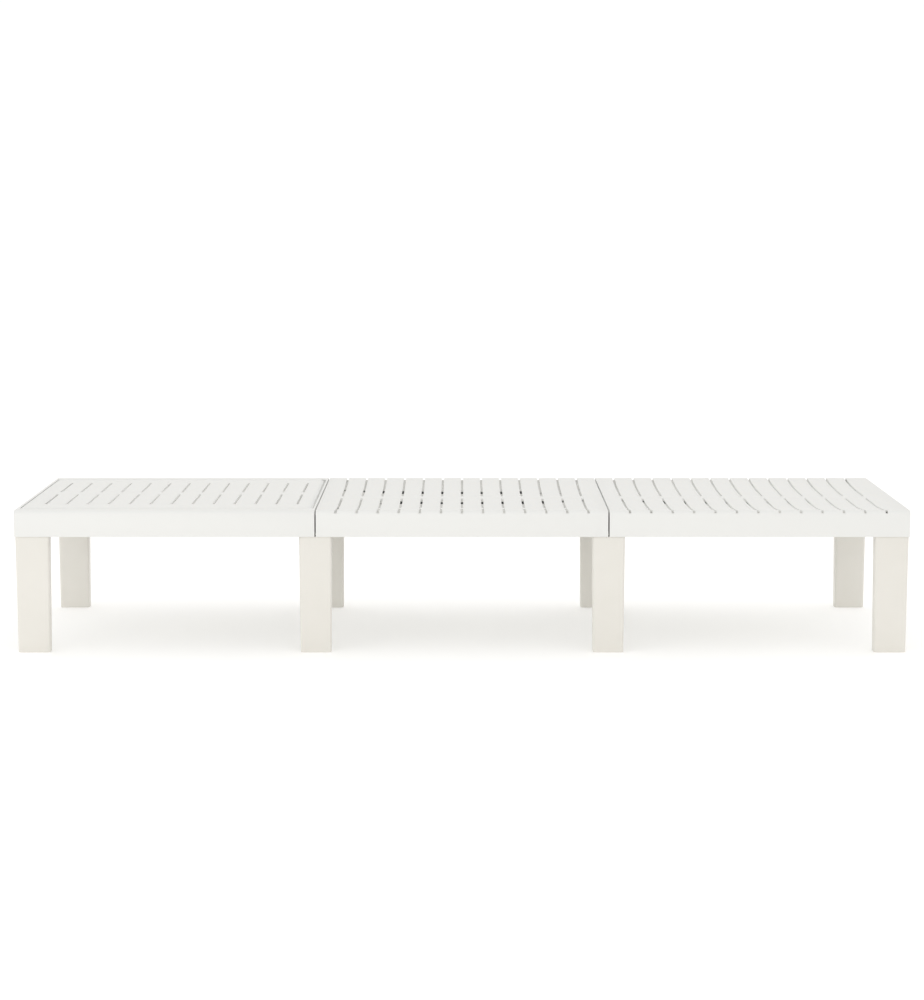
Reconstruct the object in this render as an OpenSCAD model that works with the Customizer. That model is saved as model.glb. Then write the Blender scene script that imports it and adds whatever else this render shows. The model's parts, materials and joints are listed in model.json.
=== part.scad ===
/* [Overall] */
// Overall length, head end to foot end
total_l = 1869; // [1800:1:1950]
// Overall width across the aprons
total_w = 600; // [580:1:640]
// Height of the long edges above the ground
total_h = 300; // [280:1:340]
// Gap between neighbouring modules
module_gap = 3; // [2:0.5:5]
// Length of the seat deck
seat_l = 610; // [590:1:625]

/* [Decks] */
// Height of the apron below the lying surface
apron_h = 55; // [52:1:65]
// Thickness of the moulded skin and walls
wall = 4; // [3:0.5:4]
// Radius of the long top edges
edge_r = 8; // [6:0.5:10]
// How far the lying surface of the seat and foot decks dips in the middle
dish = 9; // [5:0.5:10]
// Slots across each module
slot_count = 13; // [11:1:13]
// How much wider than the others the slat at each end of the lounger is
end_slat_extra = 7; // [0:1:10]
// Width of a slot
slot_w = 5; // [4:0.5:6]
// Depth of a slot below the lying surface
slot_depth = 5.5; // [5:0.5:7]
// Width of the bridge that joins the slats in the middle
bridge_w = 38; // [30:1:50]
// Depth of the stiffening ribs below the lying surface
rib_h = 12.5; // [10:0.5:13]
// Thickness of the stiffening ribs
rib_t = 3; // [2.5:0.5:4]

/* [Backrest] */
// Width of the side rails beside the backrest
rail_w = 40; // [38:1:44]
// Clearance between the backrest and its frame
panel_gap = 2; // [1.5:0.5:3]
// Thickness of the frame's head end
head_wall = 6; // [5:0.5:7]
// Depth of the backrest's border
panel_h = 24; // [22:1:26]
// Distance from a long edge of the lounger to the backrest's slots
slot_inset = 110; // [105:1:115]
// Distance from the hinge axis to the hinge end of the module
hinge_inset = 19; // [19:0.5:22]
// Depth of the hinge axis below the long edges
hinge_drop = 14; // [13:0.5:14]
// Angle of the backrest when fully raised
recline = 45; // [40:1:45]

/* [Prop] */
// Distance from the hinge axis to the prop's pivot
prop_reach = 288; // [280:1:295]
// Depth of the prop's pivot below the hinge axis
prop_drop = 6; // [5:0.5:7]
// Length of the prop from pivot to foot bar
prop_l = 250; // [245:1:252]
// Angle that the prop unfolds from the backrest when fully raised
prop_fold = 105.4; // [104:0.1:106]
// Distance of each arm from the centre line
arm_y = 200; // [198:1:204]
// Depth of an arm
arm_h = 18; // [16:1:18]
// Thickness of an arm
arm_t = 8; // [7:0.5:9]
// Diameter of the foot bar
bar_d = 12; // [10:0.5:12]
// Half the length of the foot bar
bar_reach = 250; // [246:1:251]

/* [Legs] */
// Width of an end leg at its top
end_leg_w = 71; // [68:1:74]
// Width of a middle leg at its top
mid_leg_w = 68; // [66:1:71]
// Depth of a leg at its top
leg_d = 30; // [29:1:34]
// How much each side of a leg draws in towards the foot
leg_taper = 2; // [1:0.5:3]
// How far the legs stand back from the aprons
leg_inset = 1.5; // [1:0.5:2.5]
// Radius of the upright edges
leg_r = 5; // [3:0.5:6]
// Height of the spigots that locate a leg in the aprons
spigot_h = 22; // [16:1:24]

/* [Fasteners] */
// Diameter of the bolts that join the modules
bolt_d = 8; // [6:1:8]
// Distance of each bolt from the centre line
bolt_y = 120; // [110:1:130]
// Diameter of the screws that hold the legs
screw_d = 5; // [4:0.5:6]
// Diameter of the backrest's hinge pins
hinge_pin_d = 10; // [8:1:10]
// Diameter of the prop's pins
prop_pin_d = 8; // [6:1:8]

/* [Hidden] */

$fn = 48;
plastic = "whitesmoke";
leg_plastic = "linen";
steel = "silver";

end_l = (total_l - seat_l - 2 * module_gap) / 2;
end_field_l = end_l - end_slat_extra; // the stretch of an end module that is divided into equal slats
head_x = -total_l / 2;
head_field_x = head_x + end_slat_extra;
seat_x = head_x + end_l + module_gap;
foot_x = seat_x + seat_l + module_gap;
half_w = total_w / 2;
apron_z = total_h - apron_h;
ribbed_slats = [3, 6, slot_count - 6, slot_count - 3];
dish_half = half_w - edge_r;
deck_rib_y = 0.53 * half_w; // outer long ribs of the seat and foot decks
dish_power = 4; // flattens the bottom of the dish
curve_steps = 16;
arc_steps = 5;
over = 1;       // how far cutters run past the faces that they cut
slip = 0.4;     // clearance between parts that slide together
running = 0.15; // difference in diameter between a pin and the bore that turns on it
fixed = 0.1;    // difference in diameter between a pin and the bore that holds it

rail_in = half_w - rail_w;
panel_half = rail_in - panel_gap;
slot_half = half_w - slot_inset;
panel_rib_y = 0.56 * slot_half; // outer long ribs of the backrest
hinge_x = head_x + end_l - hinge_inset;
hinge_z = total_h - hinge_drop;
panel_x = head_x + head_wall + module_gap;
panel_z = total_h - panel_h;
barrel_l = 18;
ledge = [16, 50];    // ledges that the head end of the backrest lies on
panel_rest = 0.3;

pivot = [-prop_reach, -prop_drop];
fold_ratio = prop_fold / recline;
rack_in = 234;
rack_start = 12;
rack_steps = 11;
rack_gap = 1.5;
notch_angles = [15, 25, 35, recline];
notch_h = 8;
stop_t = 8;
stop_z = -13;
lug_t = 5;
lug_r = 10;
recess = 2;
recess_edge = 4;

leg_h = apron_z;
leg_plate = 4;
plate_inset = 0.6;
plate_step = 1;
end_spigot = [head_wall + slip, 66];
mid_spigot = [wall + slip, 31];
spigot_d = leg_d - wall;
spigot_t = 3;
screw_in = 17;
end_screws = [20, 54];
mid_screw = 18;
screw_l = 25;
screw_head = [10, 4];
boss_d = 14;
boss_gap = 0.2;

bolt_z = apron_z + 11;
pad_d = 20;
washer = [2.1 * bolt_d, 1.6];
bolt_head_h = 5.5;
nut_h = 6.5;
hex_d = 1.85 * bolt_d;
bolt_end = 3;
pin_head_h = 3.3;
pin_head = 1.5; // diameter of a pin's head, as a multiple of the pin's own

// Width of each slat where a field of the given length is divided into equal slats
function slat_w(field_l) = (field_l - slot_count * slot_w) / (slot_count + 1);

// Height of a lying surface that dips by sag, at a distance from the centre line
function top_z(y, sag) = total_h - sag * (1 - pow(min(abs(y), dish_half) / dish_half, dish_power));

// Points along a lying surface, drawn down by inset
function top_line(from, to, sag, inset) = let (steps = sag > 0 ? curve_steps : 1)
    [for (i = [0:steps]) let (y = from + (to - from) * i / steps) [y, top_z(y, sag) - inset]];

// Quarter circle around a long top edge, from the apron's face to the lying surface
function edge_arc(side, inset) =
    [for (i = [0:arc_steps - 1])
        let (a = 90 * i / arc_steps, r = edge_r - inset)
        [side * (dish_half + r * cos(a)), total_h - edge_r + r * sin(a)]];

function reversed(list) = [for (i = [len(list) - 1:-1:0]) list[i]];

// Cross-section of a module, drawn in by inset and reaching down to low
function module_section(sag, inset, low) = concat(
    [[-half_w + inset, low]],
    edge_arc(-1, inset),
    top_line(-dish_half, dish_half, sag, inset),
    reversed(edge_arc(1, inset)),
    [[half_w - inset, low]]
);

// Turns a point of the upright plane about the hinge, raising the head end
function raise(p, a) = [p.x * cos(a) + p.y * sin(a), p.y * cos(a) - p.x * sin(a)];

// Where the middle of the foot bar is, seen from the hinge, with the backrest raised by a
function foot_at(a) = raise(pivot, a) + raise([-prop_l, 0], a - fold_ratio * a);

module along_x(from, length) {
    translate([from, 0, 0])
        rotate([90, 0, 90])
            linear_extrude(length)
                children();
}

// Extrudes an outline of the upright plane across the width, from y = from
module along_y(from, length) {
    translate([0, from + length, 0])
        rotate([90, 0, 0])
            linear_extrude(length)
                children();
}

module both_sides() {
    children();
    mirror([0, 1, 0])
        children();
}

// Keeps what lies below the middle of a module's skin
module under_skin(from, length, sag) {
    intersection() {
        along_x(from, length)
            polygon(module_section(sag, wall / 2, 0));
        children();
    }
}

module slot_cutters(from, field_l, sag, inner, outer) {
    for (i = [1:slot_count])
        both_sides()
            along_x(from + i * (slat_w(field_l) + slot_w) - slot_w, slot_w)
                polygon(concat(
                    top_line(inner, outer, sag, slot_depth),
                    [[outer, total_h + over], [inner, total_h + over]]
                ));
}

// Slopes that bring both ends of a dished deck up to straight edges
module end_slopes(from, length, field_l) {
    to_slot = slat_w(field_l) + slot_w / 2;
    intersection() {
        along_x(from, length)
            polygon(module_section(0, 0, apron_z));
        along_y(-half_w, total_w)
            for (x = [[from, from + to_slot], [from + length, from + field_l - to_slot]])
                polygon([
                    [x[0], total_h - dish - wall / 2],
                    [x[0], total_h],
                    [x[1], total_h - dish],
                    [x[1], total_h - dish - wall / 2]
                ]);
    }
}

// Ribs across a module that follow its lying surface
module cross_ribs(from, field_l, sag, half) {
    for (i = ribbed_slats)
        along_x(from + i * (slat_w(field_l) + slot_w) + (slat_w(field_l) - rib_t) / 2, rib_t)
            polygon(concat(
                top_line(-half, half, sag, wall / 2),
                reversed(top_line(-half, half, sag, rib_h))
            ));
}

module long_ribs(from, length, sag, places) {
    for (y = places)
        both_sides()
            translate([from, y - rib_t / 2, top_z(y, sag) - rib_h])
                cube([length, rib_t, rib_h - wall / 2]);
}

module leg_bosses(places) {
    for (x = places)
        both_sides()
            translate([x, half_w - screw_in, apron_z + boss_gap])
                cylinder(d = boss_d, h = apron_h);
}

module leg_boss_bores(places) {
    for (x = places)
        both_sides()
            translate([x, half_w - screw_in, apron_z - over])
                cylinder(d = screw_d + slip / 2, h = screw_l + over);
}

// Pads that touch the next module around each bolt
module bolt_pads(x) {
    both_sides()
        translate([x, bolt_y, bolt_z])
            rotate([0, 90, 0])
                cylinder(d = pad_d, h = wall / 2 + module_gap / 2);
}

module bolt_bores(x) {
    both_sides()
        translate([x, bolt_y, bolt_z])
            rotate([0, 90, 0])
                cylinder(d = bolt_d + slip, h = 6 * wall, center = true);
}

module deck(from, length, field_l, screws, near_joint, far_joint) {
    color(plastic)
    difference() {
        union() {
            difference() {
                along_x(from, length)
                    polygon(module_section(dish, 0, apron_z));
                along_x(from + wall, length - 2 * wall)
                    polygon(module_section(dish, wall, apron_z - over));
            }
            end_slopes(from, length, field_l);
            cross_ribs(from, field_l, dish, dish_half);
            long_ribs(from + wall / 2, length - wall, dish, [bridge_w / 2, deck_rib_y]);
            under_skin(from, length, dish)
                leg_bosses(screws);
            if (near_joint)
                bolt_pads(from - module_gap / 2);
            if (far_joint)
                bolt_pads(from + length - wall / 2);
        }
        slot_cutters(from, field_l, dish, bridge_w / 2, half_w + over);
        leg_boss_bores(screws);
        if (near_joint)
            bolt_bores(from);
        if (far_joint)
            bolt_bores(from + length);
    }
}

module seat_deck() {
    deck(seat_x, seat_l, seat_l, [seat_x + mid_screw, seat_x + seat_l - mid_screw], true, true);
}

module foot_deck() {
    screws = concat([foot_x + mid_screw], [for (s = end_screws) foot_x + end_l - s]);
    deck(foot_x, end_l, end_field_l, screws, true, false);
}

// Line that the underside of the foot bar clears, closed by the stop and the base below it
function rack_line(clear, base) = let (last = foot_at(recline)) concat(
    [for (i = [0:rack_steps])
        foot_at(rack_start + (recline - rack_start) * i / rack_steps) - [0, clear]],
    [[last.x + clear, last.y - clear], [last.x + clear, stop_z]],
    [[last.x + clear + stop_t, stop_z], [last.x + clear + stop_t, base]],
    [[foot_at(rack_start).x, base]]
);

// Row of notched rests for the foot bar, drawn in the hinge's upright plane
module rack_outline() {
    clear = bar_d / 2 + rack_gap;
    rest_half = clear + stop_t;
    base = apron_z - hinge_z;
    difference() {
        intersection() {
            polygon(rack_line(clear, base));
            for (a = notch_angles)
                translate([foot_at(a).x - rest_half, base])
                    square([2 * rest_half, apron_h]);
        }
        for (a = notch_angles)
            translate(foot_at(a) - [0, notch_h]) {
                circle(clear);
                translate([-clear, 0])
                    square([2 * clear, notch_h]);
            }
    }
}

module side_rails() {
    difference() {
        along_x(head_x, end_l)
            polygon(module_section(0, 0, apron_z));
        along_x(head_x - over, end_l + 2 * over)
            polygon(module_section(0, wall, apron_z - over));
        translate([head_x - over, -rail_in, apron_z - over])
            cube([end_l + 2 * over, 2 * rail_in, apron_h + 2 * over]);
    }
    under_skin(head_x, end_l, 0)
        both_sides()
            translate([head_x, rail_in, apron_z])
                cube([end_l, wall, apron_h]);
}

module end_wall(x, thickness) {
    along_x(x, thickness)
        polygon(module_section(0, 0, apron_z));
}

module head_frame() {
    screws = concat([for (s = end_screws) head_x + s], [head_x + end_l - mid_screw]);
    color(plastic)
    difference() {
        union() {
            side_rails();
            end_wall(head_x, head_wall);
            end_wall(head_x + end_l - wall, wall);
            under_skin(head_x, end_l, 0)
                leg_bosses(screws);
            both_sides() {
                translate([hinge_x, rail_in, hinge_z])
                    rotate([-90, 0, 0])
                        cylinder(d = 2 * hinge_drop - wall, h = pad_d / 2);
                translate([hinge_x, 0, hinge_z])
                    along_y(rack_in, rail_in + wall / 2 - rack_in)
                        rack_outline();
            }
            both_sides()
                translate([head_x + head_wall / 2, bolt_y - ledge.y / 2, apron_z])
                    cube([ledge.x + head_wall / 2, ledge.y, panel_z - panel_rest - apron_z]);
            bolt_pads(head_x + end_l - wall / 2);
        }
        leg_boss_bores(screws);
        bolt_bores(head_x + end_l);
        both_sides()
            translate([hinge_x, rail_in - over, hinge_z])
                rotate([-90, 0, 0])
                    cylinder(d = hinge_pin_d + fixed, h = pad_d);
    }
}

module hinge_barrels() {
    both_sides()
        translate([hinge_x, panel_half - barrel_l, hinge_z])
            rotate([-90, 0, 0])
                cylinder(d = 2 * hinge_drop - slip, h = barrel_l);
}

module prop_lugs() {
    gap = arm_t / 2 + slip;
    both_sides()
        for (y = [arm_y - gap - lug_t, arm_y + gap])
            translate([hinge_x + pivot.x, 0, hinge_z + pivot.y])
                along_y(y, lug_t) {
                    circle(lug_r);
                    translate([-lug_r, 0])
                        square([2 * lug_r, hinge_drop + prop_drop - wall / 2]);
                }
}

module backrest_panel() {
    panel_l = hinge_x + hinge_drop - panel_x;
    bar_x = hinge_x + foot_at(0).x;
    color(plastic)
    difference() {
        union() {
            intersection() {
                difference() {
                    translate([panel_x, -panel_half, panel_z])
                        cube([panel_l, 2 * panel_half, panel_h]);
                    translate([panel_x + wall, wall - panel_half, panel_z - over])
                        cube([panel_l - 2 * wall, 2 * (panel_half - wall), panel_h + over - wall]);
                }
                union() {
                    translate([panel_x, -half_w, panel_z])
                        cube([hinge_x - panel_x, total_w, panel_h]);
                    translate([hinge_x, -half_w, hinge_z])
                        rotate([-90, 0, 0])
                            cylinder(r = hinge_drop, h = total_w);
                }
            }
            cross_ribs(head_field_x, end_field_l, 0, panel_rib_y);
            long_ribs(panel_x + wall / 2, panel_l - 2 * hinge_drop, 0, [bridge_w / 2, panel_rib_y]);
            prop_lugs();
            hinge_barrels();
        }
        slot_cutters(head_field_x, end_field_l, 0, bridge_w / 2, slot_half);
        translate([bar_x - bar_d, -bar_reach - over, panel_z - over])
            cube([2 * bar_d, 2 * (bar_reach + over), hinge_z - panel_z - prop_drop + bar_d / 2 + 2 * over]);
        both_sides() {
            translate([hinge_x, 0, hinge_z])
                rotate([-90, 0, 0])
                    cylinder(d = hinge_pin_d + running, h = half_w);
            translate([hinge_x + pivot.x, slot_half - over, hinge_z + pivot.y])
                rotate([-90, 0, 0])
                    cylinder(d = prop_pin_d + fixed, h = panel_half - wall - slot_half);
        }
    }
}

module arm_outline(r, short) {
    translate([-short, 0])
        circle(r);
    translate([short - prop_l, 0])
        circle(r);
    translate([short - prop_l, -r])
        square([prop_l - 2 * short, 2 * r]);
}

module prop_frame() {
    color(plastic)
    translate([hinge_x + pivot.x, 0, hinge_z + pivot.y])
        difference() {
            union() {
                both_sides()
                    along_y(arm_y - arm_t / 2, arm_t)
                        arm_outline(arm_h / 2, 0);
                translate([-prop_l, -bar_reach, 0])
                    rotate([-90, 0, 0])
                        cylinder(d = bar_d, h = 2 * bar_reach);
            }
            both_sides() {
                for (y = [arm_y - arm_t / 2 - recess, arm_y + arm_t / 2 - recess])
                    along_y(y, 2 * recess)
                        arm_outline(arm_h / 2 - recess_edge, arm_h);
                translate([0, arm_y - arm_t, 0])
                    rotate([-90, 0, 0])
                        cylinder(d = prop_pin_d + running, h = 2 * arm_t);
            }
        }
}

module hinge_pin() {
    color(steel)
    translate([hinge_x, panel_half - barrel_l, hinge_z])
        rotate([-90, 0, 0]) {
            cylinder(d = hinge_pin_d, h = barrel_l + panel_gap + pad_d / 2 + pin_head_h);
            translate([0, 0, barrel_l + panel_gap + pad_d / 2])
                cylinder(d = pin_head * hinge_pin_d, h = pin_head_h);
        }
}

module hinge_pin_left() {
    hinge_pin();
}

module hinge_pin_right() {
    mirror([0, 1, 0])
        hinge_pin();
}

module prop_pin() {
    grip = arm_t + 2 * (lug_t + slip);
    color(steel)
    translate([hinge_x + pivot.x, arm_y - grip / 2 - over, hinge_z + pivot.y])
        rotate([-90, 0, 0]) {
            cylinder(d = prop_pin_d, h = grip + over + pin_head_h);
            translate([0, 0, grip + over])
                cylinder(d = pin_head * prop_pin_d, h = pin_head_h);
        }
}

module prop_pin_left() {
    prop_pin();
}

module prop_pin_right() {
    mirror([0, 1, 0])
        prop_pin();
}

module rounded_plate(w, d, r) {
    for (x = [-w / 2 + r, w / 2 - r])
        for (y = [-d / 2 + r, d / 2 - r])
            translate([x, y])
                circle(r);
    square([w, d - 2 * r], center = true);
    square([w - 2 * r, d], center = true);
}

// Hollow upright of a leg, open at its foot
module leg_tube(w) {
    foot = [w - 2 * leg_taper, leg_d - leg_taper];
    grow = [w / foot.x, leg_d / foot.y];
    tall = leg_h - 2 * plate_step;
    translate([0, 0, plate_step])
        difference() {
            linear_extrude(tall, scale = grow, slices = 1)
                rounded_plate(foot.x, foot.y, leg_r);
            translate([0, 0, -over])
                linear_extrude(tall + 2 * over, scale = grow, slices = 1)
                    square([foot.x - 2 * wall, foot.y - 2 * wall], center = true);
        }
}

// Flat rim that stands on the ground
module leg_rim(w, d) {
    linear_extrude(leg_plate)
        difference() {
            rounded_plate(w - 2 * plate_inset, d - 2 * plate_inset, leg_r - plate_inset);
            square([w - 2 * wall, d - 2 * wall], center = true);
        }
}

// Plate at the top of a leg that carries the apron
module leg_shoulder(w, d) {
    translate([0, 0, leg_h - leg_plate])
        linear_extrude(leg_plate)
            rounded_plate(w - 2 * plate_inset, d - 2 * plate_inset, leg_r - plate_inset);
}

// Leg on the left side, with each spigot given by its two ends along the lounger
module leg(centre, w, spigots, screws) {
    color(leg_plastic)
    difference() {
        union() {
            translate([centre, half_w - leg_inset - leg_d / 2, 0]) {
                leg_tube(w);
                leg_rim(w - 2 * leg_taper, leg_d - leg_taper);
                leg_shoulder(w, leg_d);
            }
            for (s = spigots)
                translate([min(s), half_w - wall - slip - spigot_d, leg_h - leg_plate])
                    difference() {
                        cube([abs(s[1] - s[0]), spigot_d, leg_plate + spigot_h]);
                        translate([spigot_t, spigot_t, leg_plate])
                            cube([abs(s[1] - s[0]) - 2 * spigot_t, spigot_d - 2 * spigot_t, leg_h]);
                    }
        }
        for (x = screws)
            translate([x, half_w - screw_in, leg_h - 2 * leg_plate])
                cylinder(d = screw_d + slip, h = 3 * leg_plate);
    }
}

module head_leg() {
    leg(head_x + leg_inset + end_leg_w / 2, end_leg_w,
        [[for (s = end_spigot) head_x + s]], [for (s = end_screws) head_x + s]);
}

module foot_leg() {
    leg(-(head_x + leg_inset + end_leg_w / 2), end_leg_w,
        [[for (s = end_spigot) -head_x - s]], [for (s = end_screws) -head_x - s]);
}

module mid_leg(gap_x) {
    half_gap = module_gap / 2;
    leg(gap_x, mid_leg_w,
        [for (side = [-1, 1]) [for (s = mid_spigot) gap_x + side * (half_gap + s)]],
        [for (side = [-1, 1]) gap_x + side * (half_gap + mid_screw)]);
}

module head_leg_left() {
    head_leg();
}

module head_leg_right() {
    mirror([0, 1, 0])
        head_leg();
}

module front_mid_leg_left() {
    mid_leg(seat_x - module_gap / 2);
}

module front_mid_leg_right() {
    mirror([0, 1, 0])
        mid_leg(seat_x - module_gap / 2);
}

module rear_mid_leg_left() {
    mid_leg(foot_x - module_gap / 2);
}

module rear_mid_leg_right() {
    mirror([0, 1, 0])
        mid_leg(foot_x - module_gap / 2);
}

module foot_leg_left() {
    foot_leg();
}

module foot_leg_right() {
    mirror([0, 1, 0])
        foot_leg();
}

// Repeats its children at each bolt, with the gap between the modules at x = 0
module at_bolts() {
    for (x = [seat_x, foot_x])
        both_sides()
            translate([x - module_gap / 2, bolt_y, bolt_z])
                rotate([0, 90, 0])
                    children();
}

module module_bolts() {
    grip = wall + module_gap / 2 + washer[1];
    color(steel)
    at_bolts() {
        translate([0, 0, -grip - bolt_head_h])
            cylinder(d = hex_d, h = bolt_head_h, $fn = 6);
        translate([0, 0, -grip - over])
            cylinder(d = bolt_d, h = 2 * grip + nut_h + bolt_end + over);
    }
}

module module_nuts() {
    grip = wall + module_gap / 2 + washer[1];
    color(steel)
    at_bolts()
        translate([0, 0, grip])
            difference() {
                cylinder(d = hex_d, h = nut_h, $fn = 6);
                translate([0, 0, -over])
                    cylinder(d = bolt_d + slip / 2, h = nut_h + 2 * over);
            }
}

module module_washers() {
    face = wall + module_gap / 2;
    color(steel)
    at_bolts()
        for (z = [-face - washer[1], face])
            translate([0, 0, z])
                difference() {
                    cylinder(d = washer[0], h = washer[1]);
                    translate([0, 0, -over])
                        cylinder(d = bolt_d + slip, h = washer[1] + 2 * over);
                }
}

module leg_screw(x) {
    both_sides()
        translate([x, half_w - screw_in, leg_h - leg_plate]) {
            translate([0, 0, -screw_head[1]])
                cylinder(d = screw_head[0], h = screw_head[1]);
            translate([0, 0, -over])
                cylinder(d = screw_d, h = leg_plate + screw_l - slip + over);
        }
}

module leg_screws() {
    color(steel) {
        for (s = end_screws)
            for (side = [-1, 1])
                leg_screw(side * (head_x + s));
        for (x = [seat_x, foot_x])
            for (side = [-1, 1])
                leg_screw(x - module_gap / 2 + side * (module_gap / 2 + mid_screw));
    }
}

head_frame();
seat_deck();
foot_deck();
backrest_panel();
prop_frame();
hinge_pin_left();
hinge_pin_right();
prop_pin_left();
prop_pin_right();
head_leg_left();
head_leg_right();
front_mid_leg_left();
front_mid_leg_right();
rear_mid_leg_left();
rear_mid_leg_right();
foot_leg_left();
foot_leg_right();
module_bolts();
module_nuts();
module_washers();
leg_screws();
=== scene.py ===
import json
import math

import bpy
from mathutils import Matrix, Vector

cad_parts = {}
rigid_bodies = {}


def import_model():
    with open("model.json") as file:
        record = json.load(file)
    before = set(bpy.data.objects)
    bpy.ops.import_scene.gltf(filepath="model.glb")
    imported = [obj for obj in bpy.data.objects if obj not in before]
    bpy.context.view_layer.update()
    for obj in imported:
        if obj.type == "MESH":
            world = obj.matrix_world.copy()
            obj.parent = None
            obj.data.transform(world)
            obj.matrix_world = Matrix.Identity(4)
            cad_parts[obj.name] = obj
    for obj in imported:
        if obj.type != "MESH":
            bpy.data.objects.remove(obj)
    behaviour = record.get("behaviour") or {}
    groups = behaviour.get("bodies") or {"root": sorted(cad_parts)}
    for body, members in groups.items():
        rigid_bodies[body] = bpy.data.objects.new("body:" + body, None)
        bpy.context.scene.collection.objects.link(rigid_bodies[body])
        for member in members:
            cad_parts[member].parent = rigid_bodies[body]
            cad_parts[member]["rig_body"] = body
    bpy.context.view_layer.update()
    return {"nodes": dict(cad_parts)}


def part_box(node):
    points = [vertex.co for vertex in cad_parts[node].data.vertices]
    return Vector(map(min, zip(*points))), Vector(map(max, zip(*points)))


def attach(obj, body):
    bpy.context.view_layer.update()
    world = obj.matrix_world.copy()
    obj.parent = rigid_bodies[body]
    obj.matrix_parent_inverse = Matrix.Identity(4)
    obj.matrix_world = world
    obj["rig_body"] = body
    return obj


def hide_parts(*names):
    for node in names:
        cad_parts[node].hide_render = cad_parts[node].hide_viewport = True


MM = 0.001
SKIN = 4 * MM  # thickness of the decks' mouldings
DISH = 9 * MM  # dip of the seat and foot decks in the middle
DISH_POWER = 4  # flattens the bottom of the dip
DECK_EDGE = 8 * MM  # radius of a deck's long top edges, where the dip starts
WEB_PLACES = (0.3, 0.75)  # places of the long webs, as shares of the way out to the apron
WEB_THICKNESS = 2.5 * MM
WEB_DEPTH = 9 * MM
WEB_DRAFT = 0.7  # width of a web's lower edge, as a share of its upper edge
LAP = 0.1 * SKIN  # how far the webs reach up into the skin
SHARP = math.radians(30)  # edges that turn by more than this are rounded

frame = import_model()
bpy.ops.object.select_all(action="DESELECT")


# Camera: square to the lounger's right side, a little above it and looking down

def place_camera(distance, height, tilt, lens):
    camera = bpy.data.cameras.new("camera")
    camera.lens = lens
    holder = bpy.data.objects.new("camera", camera)
    bpy.context.scene.collection.objects.link(holder)
    holder.location = (0, -distance, height)
    holder.rotation_euler = (math.radians(90 - tilt), 0, 0)
    bpy.context.scene.camera = holder


place_camera(distance=5.559, height=0.982, tilt=7.145, lens=91.64)


# Studio: a white light tent with a bright floor and one large soft light at the front left

def linear(colour):
    """Linear RGBA of an sRGB hex colour."""
    parts = [int(colour[i:i + 2], 16) / 255 for i in (1, 3, 5)]
    return [p / 12.92 if p <= 0.04045 else ((p + 0.055) / 1.055) ** 2.4 for p in parts] + [1]


def add_node(tree, kind, settings=None, links=None):
    """Adds a node, sets its own values or inputs by name, and links other nodes' outputs to it."""
    node = tree.nodes.new(kind)
    for name, value in (settings or {}).items():
        if hasattr(node, name):
            setattr(node, name, value)
        else:
            node.inputs[name].default_value = value
    for name, output in (links or {}).items():
        tree.links.new(output, node.inputs[name])
    return node


def light_tent(colour, strength):
    world = bpy.data.worlds.new("light_tent")
    world.use_nodes = True
    world.node_tree.nodes["Background"].inputs["Color"].default_value = linear(colour)
    world.node_tree.nodes["Background"].inputs["Strength"].default_value = strength
    bpy.context.scene.world = world


def soft_light(name, place, target, size, power, colour):
    lamp = bpy.data.lights.new(name, "AREA")
    lamp.shape = "DISK"
    lamp.size = size
    lamp.energy = power
    lamp.color = linear(colour)[:3]
    holder = bpy.data.objects.new(name, lamp)
    bpy.context.scene.collection.objects.link(holder)
    holder.location = place
    direction = Vector(target) - Vector(place)
    holder.rotation_euler = direction.to_track_quat("-Z", "Y").to_euler()


def lay_floor(size, colour, glow):
    """A pale floor, lit a little from below as a light table is."""
    bpy.ops.mesh.primitive_plane_add(size=size)
    floor = bpy.context.object
    floor.name = "floor"
    paint = bpy.data.materials.new("light_table")
    paint.use_nodes = True
    shader = paint.node_tree.nodes["Principled BSDF"]
    shader.inputs["Base Color"].default_value = linear(colour)
    shader.inputs["Roughness"].default_value = 0.9
    shader.inputs["Emission Strength"].default_value = glow
    floor.data.materials.append(paint)
    bpy.ops.object.select_all(action="DESELECT")


bpy.context.scene.view_settings.view_transform = "Standard"
light_tent("#ffffff", 1.03)
soft_light("front_left_light", (-2.4, -3.6, 0.75), (0, 0, 0.15), 1.6, 10, "#ffffff")
lay_floor(60, "#f3f2f0", 0.22)


# Materials

def new_material(name):
    """A material with its node tree, its shader and its object coordinates."""
    paint = bpy.data.materials.new(name)
    paint.use_nodes = True
    tree = paint.node_tree
    return paint, tree, tree.nodes["Principled BSDF"], add_node(tree, "ShaderNodeTexCoord")


def mixed(tree, factor, first, second):
    """Colour between two hex colours."""
    mix = add_node(tree, "ShaderNodeMix", {"data_type": "RGBA"})
    tree.links.new(factor, mix.inputs[0])
    mix.inputs[6].default_value = linear(first)
    mix.inputs[7].default_value = linear(second)
    return mix.outputs[2]


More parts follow.
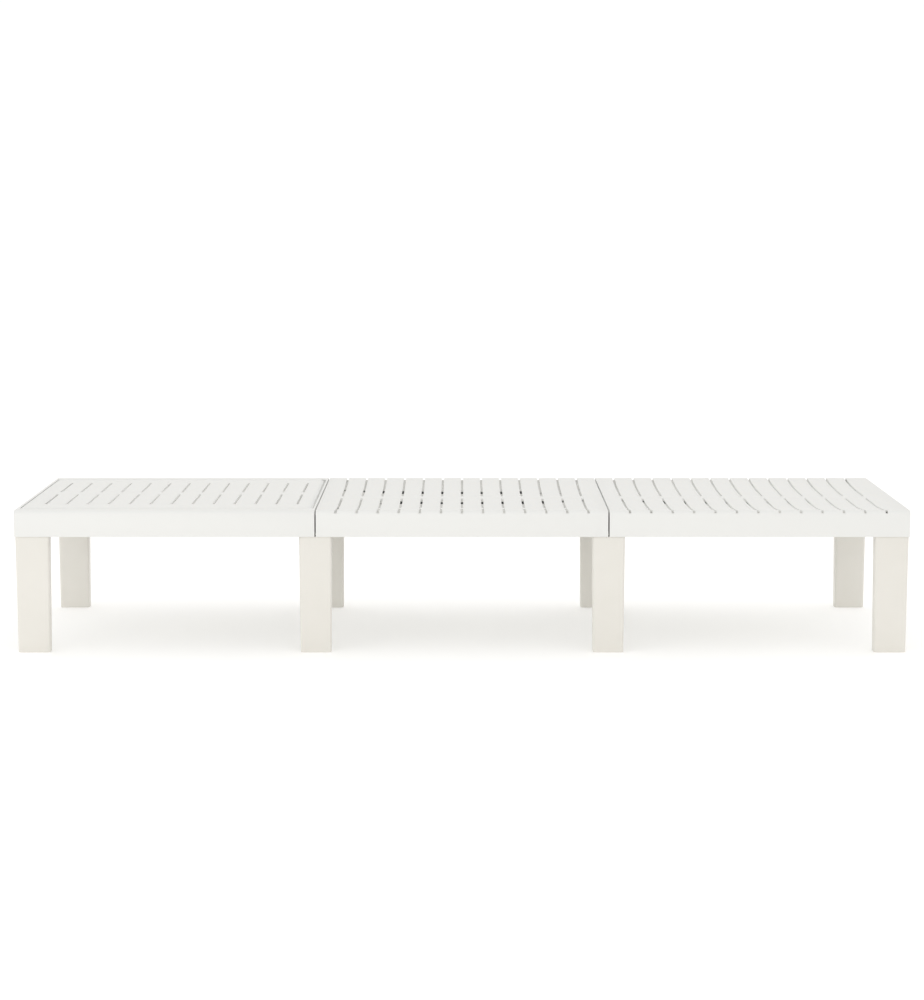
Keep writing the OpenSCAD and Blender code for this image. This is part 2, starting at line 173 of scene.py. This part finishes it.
def embossed_polypropylene():
    """UV-stabilised polypropylene from a mould with a wood grain in the faces of its slats: a soft
    satin white whose slats break up the light, with smooth aprons. Its upward faces also carry
    painted top light, a lighter and warmer tone than the aprons, mottled by the grain."""
    paint, tree, shader, place = new_material("embossed_polypropylene")
    # grain lines 3 mm apart that run along each slat for about 50 mm
    stretched = add_node(tree, "ShaderNodeMapping", {"Scale": (1 / 3, 1 / 50, 1 / 3)},
                         {"Vector": place.outputs["Object"]})
    grain = add_node(tree, "ShaderNodeTexNoise", {"Scale": 1000, "Detail": 4, "Roughness": 0.6},
                     {"Vector": stretched.outputs["Vector"]})
    # patches 12 mm across where the embossing is deeper or shallower, which also make the painted
    # top light patchy
    patches = add_node(tree, "ShaderNodeTexNoise", {"Scale": 1000 / 12, "Detail": 2},
                       {"Vector": place.outputs["Object"]})
    # the spark-eroded skin of the mould, drawn 1.5 mm coarse so that it shows
    skin = add_node(tree, "ShaderNodeTexNoise", {"Scale": 1000 / 1.5, "Detail": 2},
                    {"Vector": place.outputs["Object"]})
    # faces that look up: the grain is embossed on them, and they are given painted top light
    upward = add_node(tree, "ShaderNodeSeparateXYZ", links={"Vector": place.outputs["Normal"]})
    on_slats = add_node(tree, "ShaderNodeMapRange", {"From Min": 0.9, "From Max": 0.98},
                        {"Value": upward.outputs["Z"]})
    relief = add_node(tree, "ShaderNodeMath", {"operation": "MULTIPLY"})
    tree.links.new(grain.outputs["Fac"], relief.inputs[0])
    tree.links.new(on_slats.outputs["Result"], relief.inputs[1])
    grain_and_painted_top_light = add_node(tree, "ShaderNodeMath", {"operation": "MULTIPLY"})
    tree.links.new(relief.outputs["Value"], grain_and_painted_top_light.inputs[0])
    tree.links.new(patches.outputs["Fac"], grain_and_painted_top_light.inputs[1])
    fine = add_node(tree, "ShaderNodeBump", {"Strength": 0.3, "Distance": 0.1 * MM},
                    {"Height": skin.outputs["Fac"]})
    coarse = add_node(tree, "ShaderNodeBump", {"Strength": 0.8, "Distance": 0.6 * MM},
                      {"Height": relief.outputs["Value"], "Normal": fine.outputs["Normal"]})
    tree.links.new(coarse.outputs["Normal"], shader.inputs["Normal"])
    # the aprons keep the first colour; upward faces mix towards the second, lighter and warmer
    # colour, which is painted top light mottled by the grain
    shade = add_node(tree, "ShaderNodeMapRange", {"From Min": 0.1, "From Max": 0.5},
                     {"Value": grain_and_painted_top_light.outputs["Value"]})
    tree.links.new(mixed(tree, shade.outputs["Result"], "#e4e4e1", "#e8e6e0"),
                   shader.inputs["Base Color"])
    rough = add_node(tree, "ShaderNodeMapRange", {"To Min": 0.42, "To Max": 0.58},
                     {"Value": skin.outputs["Fac"]})
    tree.links.new(rough.outputs["Result"], shader.inputs["Roughness"])
    shader.inputs["IOR"].default_value = 1.49
    return paint


def smooth_polypropylene():
    """The same plastic from a plainer mould, a shade creamier: smooth, with faint flow marks."""
    paint, tree, shader, place = new_material("smooth_polypropylene")
    # cloudy flow marks about 60 mm across
    flow = add_node(tree, "ShaderNodeTexNoise",
                    {"Scale": 1000 / 60, "Detail": 2, "Distortion": 0.6},
                    {"Vector": place.outputs["Object"]})
    skin = add_node(tree, "ShaderNodeTexNoise", {"Scale": 1000 / 1.5, "Detail": 2},
                    {"Vector": place.outputs["Object"]})
    tree.links.new(mixed(tree, flow.outputs["Fac"], "#e3e0d9", "#dfdcd4"),
                   shader.inputs["Base Color"])
    fine = add_node(tree, "ShaderNodeBump", {"Strength": 0.25, "Distance": 0.1 * MM},
                    {"Height": skin.outputs["Fac"]})
    tree.links.new(fine.outputs["Normal"], shader.inputs["Normal"])
    rough = add_node(tree, "ShaderNodeMapRange", {"To Min": 0.36, "To Max": 0.5},
                     {"Value": skin.outputs["Fac"]})
    tree.links.new(rough.outputs["Result"], shader.inputs["Roughness"])
    shader.inputs["IOR"].default_value = 1.49
    return paint


def zinc_plated_steel():
    """Cold-headed steel with a blue-passivated zinc coat: a cool, slightly uneven dull shine."""
    paint, tree, shader, place = new_material("zinc_plated_steel")
    # spangle about 2 mm across
    spangle = add_node(tree, "ShaderNodeTexNoise", {"Scale": 1000 / 2, "Detail": 3},
                       {"Vector": place.outputs["Object"]})
    tree.links.new(mixed(tree, spangle.outputs["Fac"], "#c3c7cb", "#aeb2b8"),
                   shader.inputs["Base Color"])
    rough = add_node(tree, "ShaderNodeMapRange", {"To Min": 0.28, "To Max": 0.45},
                     {"Value": spangle.outputs["Fac"]})
    tree.links.new(rough.outputs["Result"], shader.inputs["Roughness"])
    shader.inputs["Metallic"].default_value = 1.0
    return paint


deck_plastic = embossed_polypropylene()
leg_plastic = smooth_polypropylene()
steel = zinc_plated_steel()


# Pieces that carry over the shape of a CAD node, with their edges slightly rounded, and the webs

def merged_copy(node, name):
    """A copy of a CAD node's mesh as one closed surface with flat faces made whole."""
    piece = bpy.data.objects.new(name, frame["nodes"][node].data.copy())
    bpy.context.scene.collection.objects.link(piece)
    piece.data.materials.clear()
    bpy.context.view_layer.objects.active = piece
    piece.select_set(True)
    bpy.ops.object.mode_set(mode="EDIT")
    bpy.ops.mesh.select_all(action="SELECT")
    bpy.ops.mesh.remove_doubles(threshold=0.002 * MM)
    bpy.ops.mesh.dissolve_limited(angle_limit=math.radians(0.5))
    bpy.ops.object.mode_set(mode="OBJECT")
    return piece


def round_edges(piece, radius):
    bevel = piece.modifiers.new("edges", "BEVEL")
    bevel.width = radius
    bevel.segments = 2
    bevel.limit_method = "ANGLE"
    bevel.angle_limit = SHARP
    bpy.ops.object.modifier_apply(modifier=bevel.name)
    bpy.ops.object.shade_smooth_by_angle(angle=SHARP)


def carried_over(node, suffix, radius, material):
    piece = merged_copy(node, node + suffix)
    round_edges(piece, radius)
    piece.data.materials.append(material)
    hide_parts(node)
    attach(piece, frame["nodes"][node]["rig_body"])
    bpy.ops.object.select_all(action="DESELECT")


def add_webs(deck):
    """Long drafted webs under the slats, which close the view along the slots."""
    low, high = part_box(deck)
    middle, length = (low[0] + high[0]) / 2, high[0] - low[0] - 2 * SKIN
    webs = []
    for y in [side * share * high[1] for share in WEB_PLACES for side in (-1, 1)]:
        dip = DISH * (1 - (abs(y) / (high[1] - DECK_EDGE)) ** DISH_POWER)
        top = high[2] - dip - SKIN + LAP
        bpy.ops.mesh.primitive_cube_add(size=1, location=(middle, y, top - WEB_DEPTH / 2),
                                        scale=(length, WEB_THICKNESS, WEB_DEPTH))
        web = bpy.context.object
        bpy.ops.object.transform_apply()
        for face in web.data.polygons:
            face.select = face.normal.z < -0.5
        for part in (*web.data.edges, *web.data.vertices):
            part.select = False
        bpy.ops.object.mode_set(mode="EDIT")
        bpy.ops.mesh.select_mode(type="FACE")
        bpy.ops.transform.resize(value=(1, WEB_DRAFT, 1), center_override=(middle, y, top))
        bpy.ops.object.mode_set(mode="OBJECT")
        webs.append(web)
    for web in webs:
        web.select_set(True)
    bpy.ops.object.join()
    piece = bpy.context.object
    piece.name = deck + "_webs"
    round_edges(piece, 0.4 * MM)
    piece.data.materials.append(deck_plastic)
    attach(piece, "frame")
    bpy.ops.object.select_all(action="DESELECT")


add_webs("seat_deck")
add_webs("foot_deck")
for node in ("head_frame", "seat_deck", "foot_deck", "backrest_panel", "prop_frame"):
    carried_over(node, "_moulding", 0.9 * MM, deck_plastic)
for node in [n for n in frame["nodes"] if "_leg_" in n]:
    carried_over(node, "_moulding", 0.8 * MM, leg_plastic)
for node in [n for n in frame["nodes"] if "pin" in n or "module_" in n or n == "leg_screws"]:
    carried_over(node, "_plated", 0.4 * MM, steel)
